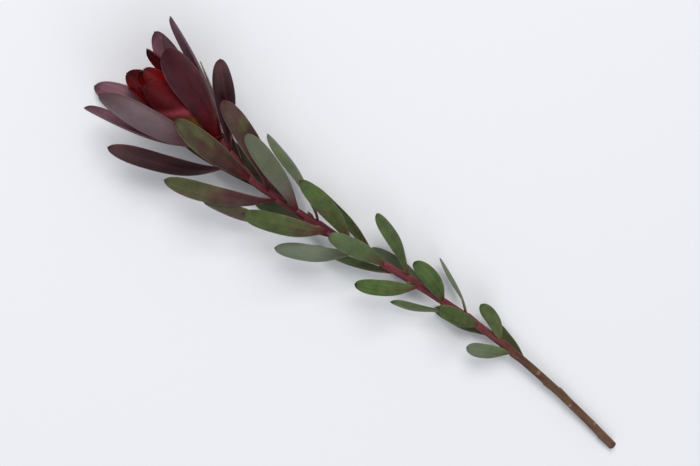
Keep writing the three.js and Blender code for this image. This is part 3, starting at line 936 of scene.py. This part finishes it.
def bract_blade(j):
    """The sizes in millimetres and the angles in degrees of bract j, counted in from the outermost.
    The bracts get shorter, narrower, more upright and more cupped inwards."""
    aside, out, longer, twist, bulge = BRACT_ASIDE.get(j, (0.0,) * 5)
    inward = (j - 1) / (OUTER_BRACTS + INNER_BRACTS - 1)
    outer = j <= OUTER_BRACTS
    start, length, radius = OUTER_DISC if outer else INNER_DISC
    place = (j - 0.5) / OUTER_BRACTS if outer else (j - OUTER_BRACTS - 0.5) / INNER_BRACTS
    return {
        "number": j,
        "foot": head_point(start + length * (0.15 + 0.5 * place)),
        "foot_out": radius * ROOTED_AT,
        "directions": stem_directions(1.0),
        "turn": SPIRAL_START - SPIRAL_TURN * j + aside,
        "length": 108 - 36 * inward**1.6 + 2 * scatter(j, 12) + longer,
        "width": 29.5 - 11.5 * inward**3,
        "widest": 0.6,
        "root": 0.44 if outer else 0.3,
        "blunt": 2.8,
        "root_lean": (47 - 24 * inward if outer else 38.0) + bulge,
        "tip_lean": (21 - 12 * inward if outer else 6 - 32 * (2 * inward - 1)) + out,
        "bend": (1.8 if outer else 1.3) + bulge / BULGE_PER_BEND,
        "cup": 30 + 18 * inward,
        "twist": 5 * scatter(j, 14) + twist,
        "drift": 3 * scatter(j, 15),
        "wave": 0.4,
        "phase": scatter(j, 16),
        "thickness": 1.05,
    }


# How far each outer bract has gone from maroon to a grey mauve, and the share of its length where
# that starts, if it isn't the usual 0.42.
BRACT_GREYNESS = {1: 1.0, 2: 0.35, 3: 0.7, 4: 0.0, 5: 0.6, 6: 1.0, 7: 0.3}
BLOOM_FROM = {6: 0.72}

MAROON = srgb(64, 14, 24)
DEEP_MAROON = srgb(58, 14, 24)
WARM_PATCH = srgb(84, 22, 34)
PINK_PLUM = srgb(114, 72, 86)
BRACT_ROOT = srgb(92, 6, 12)
BRACT_MIDRIB = srgb(40, 10, 18)
PLUM_RIM = srgb(138, 100, 108)
PLUM_END = srgb(34, 10, 14)
GREY_BLOOM = srgb(134, 117, 121)


def outer_paint(blade, t, s, inside):
    """The outer bract's colour and its share of grey bloom: maroon, redder at the base, with the
    bloom on its upper part away from the edges. The hollow side is a pinker plum. The rim is thin
    and pale, and the tip a little darker."""
    number = blade["number"]
    grey = BRACT_GREYNESS[number]
    edge = 1 - np.abs(s)
    broad = blotches(t * blade["length"] / 30, s * 0.6, number + 30)
    small = blotches(t * blade["length"] / 9, s * 1.6, number + 50)
    skin = mix(MAROON, DEEP_MAROON, t)
    skin = mix(skin, WARM_PATCH, 0.3 * np.clip(small, 0, 1) + 0.3 * np.clip(broad, 0, 1))
    upper = 1 / (1 + np.exp((BLOOM_FROM.get(number, 0.42) + 0.05 * broad - t) / 0.07))
    away = 1 - 0.55 * bump(edge, 0, 0.14)
    bloom = (0.04 + 0.56 * grey) * upper * away * (1 + 0.18 * broad - 0.5 * bump(t, 1.0, 0.14))
    if inside:
        skin = mix(skin, PINK_PLUM, (0.85 + 0.1 * broad) * upper)
        bloom = 0.25 * bloom
    skin = mix(skin, BRACT_ROOT, (0.95 - 0.4 * grey) * bump(t, 0, 0.3))
    skin = mix(skin, BRACT_MIDRIB, 0.35 * bump(s, 0, 0.04) * (1 - t) ** 0.5)
    skin = mix(skin, PLUM_RIM, 0.5 * bump(edge, 0, 0.035) * (t > 0.15))
    return mix(skin, PLUM_END, 0.6 * bump(t, 1.0, 0.035)), bloom


build_blades(
    "plum_bracts",
    [bract_blade(j) for j in range(1, OUTER_BRACTS + 1)],
    BRACT_GRID,
    outer_paint,
    blade_material("plum_skin", 0.42, 0.13, 0.0004, GREY_BLOOM),
    ["outer_bracts"],
    PLUM_CALLUS,
)


# The inner bracts. Shorter, softer blades in scarlet with a yellow-green base and a pink band above
# it, partly their own pink and partly painted highlight, more cupped the further in they stand, the
# last of them closed over the cone.

SCARLET_CALLUS = 0.6

SCARLET = srgb(126, 8, 6)
CRIMSON = srgb(80, 4, 11)
DARK_CRIMSON = srgb(52, 6, 14)
# The pink of the band above the base: partly the bract's own pink, partly painted highlight.
PINK_AND_PAINTED_HIGHLIGHT = srgb(188, 80, 96)
YELLOW_GREEN = srgb(116, 88, 40)
SCARLET_RIM = srgb(150, 50, 58)
SCARLET_END = srgb(34, 8, 10)
SCARLET_BLOOM = srgb(160, 100, 106)


def inner_paint(blade, t, s, inside):
    """The inner bract's colour and its share of bloom: scarlet, deeper to the tip and in patches,
    with a yellow-green base and a pink band above it, partly the bract's own pink and partly a
    painted highlight where light catches the foot, strongest on the hollow side. Base and band
    run higher up one edge than up the other."""
    j = blade["number"]
    edge = 1 - np.abs(s)
    broad = blotches(t * blade["length"] / 22, s * 0.7, j + 60)
    skin = mix(SCARLET, CRIMSON, 0.25 + 0.45 * t + 0.65 * broad)
    skin = mix(skin, DARK_CRIMSON, 0.5 * bump(t, 1.0, 0.16))
    turning = 0.485 + 0.03 * broad + 0.17 * s
    # The pink band: partly the bract's own pink and partly a painted highlight where light catches the
    # foot.
    skin = mix(skin, PINK_AND_PAINTED_HIGHLIGHT, (0.9 if inside else 0.8) * bump(t, turning, 0.055))
    green = 1 / (1 + np.exp((t - turning + 0.07) / 0.03))
    skin = mix(skin, YELLOW_GREEN, (0.95 if inside else 0.75) * green)
    skin = mix(skin, SCARLET_RIM, 0.4 * bump(edge, 0, 0.03) * (t > 0.2))
    return mix(skin, SCARLET_END, 0.7 * bump(t, 1.0, 0.035)), 0.03 + 0.03 * broad


build_blades(
    "scarlet_bracts",
    [bract_blade(j) for j in range(OUTER_BRACTS + 1, OUTER_BRACTS + INNER_BRACTS + 1)],
    BRACT_GRID,
    inner_paint,
    blade_material("scarlet_skin", 0.38, 0.09, 0.0003, SCARLET_BLOOM),
    ["inner_bracts"],
    SCARLET_CALLUS,
)


# The foot of the head. The woody stem ends in a short receptacle that both rings of bracts grow
# from, ringed with the low scars between them.

FOOT_FROM = 0.35
FOOT_TO = 14.9
FOOT_RINGS = 60
FOOT_SIDES = 40
FOOT_WOODY = 0.4

# The foot's outline: distances along the head's axis from the stem's end, and the radius at each.
FOOT_OUTLINE_AT = [0.3, 0.9, 2.8, 6.4, 6.9, 10.1, 14.9]
FOOT_OUTLINE_RADIUS = [2.9, 4.5, 5.3, 4.2, 4.0, 4.5, 3.4]

FOOT_RED = srgb(104, 44, 48)
FOOT_GREEN = srgb(120, 110, 60)

foot_distance = np.linspace(FOOT_FROM, FOOT_TO, FOOT_RINGS)[:, None]
foot_turn = ring_turns(FOOT_SIDES)
foot_radius = np.interp(foot_distance, FOOT_OUTLINE_AT, FOOT_OUTLINE_RADIUS)
foot_radius = foot_radius + 0.12 * np.sin(5 * foot_turn + 0.9 * foot_distance)
foot_skin = head_point(foot_distance) + foot_radius[..., None] * head_spoke(foot_turn)
foot_ends = head_point(np.array([FOOT_FROM, FOOT_TO]))
foot_paint = mix(FOOT_RED, FOOT_GREEN, (foot_distance / FOOT_TO) ** 2 + 0 * foot_turn)
build(
    "head_foot",
    np.concatenate([foot_skin.reshape(-1, 3), foot_ends]),
    ring_faces(FOOT_RINGS, FOOT_SIDES),
    end_fans(FOOT_RINGS, FOOT_SIDES, foot_radius.size),
    {"woody": np.full(foot_radius.size + 2, FOOT_WOODY)},
    np.concatenate([foot_paint.reshape(-1, 3), [FOOT_RED, FOOT_GREEN]]),
    bark_material,
    ["outer_bracts", "inner_bracts"],
)


# The flower cone. A small young cone of overlapping dry scales, set in the same spiral, green and
# brown with silky edges, over a core. It sits hidden in the middle of the bracts.

CONE_SCALES = 76
SCALE_ROWS = 9
SCALE_COLUMNS = 8
SCALE_REACH = 0.26
SCALE_HALF_WIDTH = 3.1
CORE_SHARE = 0.86
CORE_RINGS = 30
CORE_SIDES = 24

SCALE_GREEN = srgb(142, 134, 78)
SCALE_BROWN = srgb(120, 76, 52)
SILKY_EDGE = srgb(196, 182, 150)
CORE_GREEN = srgb(112, 104, 62)


def cone_scale(n):
    """Scale n as two grids of points, with the shares along and across: a pointed shield that hugs
    the egg, its edge lifted a little, with its foot inside the core. The scales get narrower and
    shorter up the cone."""
    share = 0.02 + 0.9 * (n / (CONE_SCALES - 1)) ** 0.85
    turn = np.radians(SPIRAL_TURN * n)
    t = np.linspace(0, 1, SCALE_ROWS)[:, None]
    s = np.linspace(-1, 1, SCALE_COLUMNS + 1)[None, :]
    reach = np.clip(share + SCALE_REACH * t * (1 - 0.35 * share), 0, 1.0)
    belly = 0.55 + 0.45 * np.sin(np.pi * np.clip(t * 1.1, 0, 1))
    half = (SCALE_HALF_WIDTH * belly * (1 - t**6) ** 0.7 + 0.12) * (1 - 0.45 * share)
    radius = np.maximum(egg_radius(CONE_TOP_AT * reach), 1.1) - 0.75 + 0.85 * np.sin(np.pi / 2 * t)
    angle = turn + s * half / np.maximum(radius, 1.6)
    radius = radius + 0.12 * s**2 - 0.15 * (1 - t)
    spoke = head_spoke(angle)
    middle = head_point(CONE_START + CONE_LENGTH * reach + 0 * s) + radius[..., None] * spoke
    thick = 0.16 * (1 - 0.5 * s**2) * (1 - 0.5 * t) + 0.05
    outer = middle + thick[..., None] * spoke
    inner = middle - thick[..., None] * spoke
    return outer, inner, t + 0 * s, s + 0 * t


cone_points, cone_quads, cone_paint = [], [], []
first = 0
for n in range(CONE_SCALES):
    outer, inner, t, s = cone_scale(n)
    colour = mix(SCALE_GREEN, SCALE_BROWN, t**2 + 0.2 * scatter(n, 70))
    colour = mix(colour, SILKY_EDGE, 0.6 * np.clip(np.abs(s) ** 6 + t**8, 0, 1))
    cone_points += [outer.reshape(-1, 3), inner.reshape(-1, 3)]
    cone_paint += [colour.reshape(-1, 3), colour.reshape(-1, 3)]
    cone_quads.append(sheet_faces(SCALE_ROWS, SCALE_COLUMNS, first))
    first += 2 * t.size
core_share = np.linspace(0, 1, CORE_RINGS)[:, None]
core_radius = CORE_SHARE * egg_radius(CONE_TOP_AT * core_share)
core_spoke = head_spoke(ring_turns(CORE_SIDES))
core = head_point(CONE_START + CONE_LENGTH * core_share) + core_radius[..., None] * core_spoke
core_ends = head_point(np.array([CONE_START, CONE_START + CONE_LENGTH]))
core_size = CORE_RINGS * CORE_SIDES
cone_points += [core.reshape(-1, 3), core_ends]
cone_paint.append(np.broadcast_to(CORE_GREEN, (core_size + 2, 3)))
cone_quads.append(ring_faces(CORE_RINGS, CORE_SIDES, first))
cone_fans = end_fans(CORE_RINGS, CORE_SIDES, first + core_size, first)

# The scales' skin: silky hairs, drawn out along the cone as fine noise.
cone_material, tree, skin = new_material("cone_scales", 0.6, 0.4)
place = node(tree, "ShaderNodeTexCoord").outputs["Object"]
drawn = node(tree, "ShaderNodeMapping", {"Vector": place, "Scale": (0.2, 1.0, 1.0)}).outputs[0]
silk = noise(tree, drawn, 3600.0, 3.0)
silky = shaded(tree, mesh_value(tree, "paint", "Color"), ranged(tree, silk, 0.3, 0.7, 0.8, 1.25))
tree.links.new(silky, skin.inputs["Base Color"])
add_relief(tree, skin, silk, 0.5, 0.0002)
build(
    "flower_cone_scales",
    np.concatenate(cone_points),
    np.concatenate(cone_quads),
    cone_fans,
    {},
    np.concatenate(cone_paint),
    cone_material,
    ["flower_cone"],
)


# The floor, the light and the camera. A pale matt table under two large soft lamps in a bright, even
# room. The camera looks down on the lying stem, from the side from which the photograph shows it.

FLOOR_HALF = 9.0
FLOOR_COLOUR = (0.83, 0.84, 0.87, 1.0)
ROOM_COLOUR = (0.93, 0.95, 1.0, 1.0)
ROOM_LIGHT = 0.42

floor_corners = [(x * FLOOR_HALF, y * FLOOR_HALF, 0) for x, y in ((-1, -1), (1, -1), (1, 1), (-1, 1))]
floor_mesh = bpy.data.meshes.new("floor")
floor_mesh.from_pydata(floor_corners, [], [(0, 1, 2, 3)])
floor = bpy.data.objects.new("floor", floor_mesh)
bpy.context.scene.collection.objects.link(floor)
floor_material, tree, skin = new_material("pale_table", 0.7, 0.3)
skin.inputs["Base Color"].default_value = FLOOR_COLOUR
floor_mesh.materials.append(floor_material)

world = bpy.data.worlds.new("room")
bpy.context.scene.world = world
world.use_nodes = True
glow = world.node_tree.nodes["Background"]
glow.inputs["Color"].default_value = ROOM_COLOUR
glow.inputs["Strength"].default_value = ROOM_LIGHT


def soft_lamp(name, spot, side, power, colour):
    """A square area lamp of that side, in metres and watts, aimed at the middle of the table."""
    light = bpy.data.lights.new(name, "AREA")
    light.shape = "SQUARE"
    light.size = side
    light.energy = power
    light.color = colour
    lamp = bpy.data.objects.new(name, light)
    lamp.location = spot
    lamp.rotation_euler = (-Vector(spot)).to_track_quat("-Z", "Y").to_euler()
    bpy.context.scene.collection.objects.link(lamp)


soft_lamp("window", (2.4, -1.9, 3.8), 2.6, 158.0, (1.0, 0.99, 0.97))
soft_lamp("bounce", (-2.2, 2.2, 3.4), 3.6, 56.0, (0.96, 0.98, 1.0))

# The camera's own axes are worked out from the way it looks and the angle at which the stem's length
# lies in the picture, turned anticlockwise from level.
SPOT = Vector((0.30, -0.022, 1.03))
LOOK_AT = Vector((0.046, -0.010, 0.02))
STEM_ANGLE = np.radians(142)
LENS = 60
SENSOR_WIDTH = 36
FAR_ENOUGH = 50
towards = (LOOK_AT - SPOT).normalized()
back = -towards
stem_way = Vector((1, 0, 0)) - towards * towards.x
stem_way.normalize()
turned = back.cross(stem_way)
right = stem_way * float(np.cos(STEM_ANGLE)) - turned * float(np.sin(STEM_ANGLE))
upward = stem_way * float(np.sin(STEM_ANGLE)) + turned * float(np.cos(STEM_ANGLE))
lens = bpy.data.cameras.new("camera")
lens.lens = LENS
lens.sensor_width = SENSOR_WIDTH
lens.clip_end = FAR_ENOUGH
camera = bpy.data.objects.new("camera", lens)
camera.matrix_world = Matrix(
    [
        (right.x, upward.x, back.x, SPOT.x),
        (right.y, upward.y, back.y, SPOT.y),
        (right.z, upward.z, back.z, SPOT.z),
        (0, 0, 0, 1),
    ]
)
bpy.context.scene.collection.objects.link(camera)
bpy.context.scene.camera = camera
bpy.context.scene.view_settings.view_transform = "Standard"
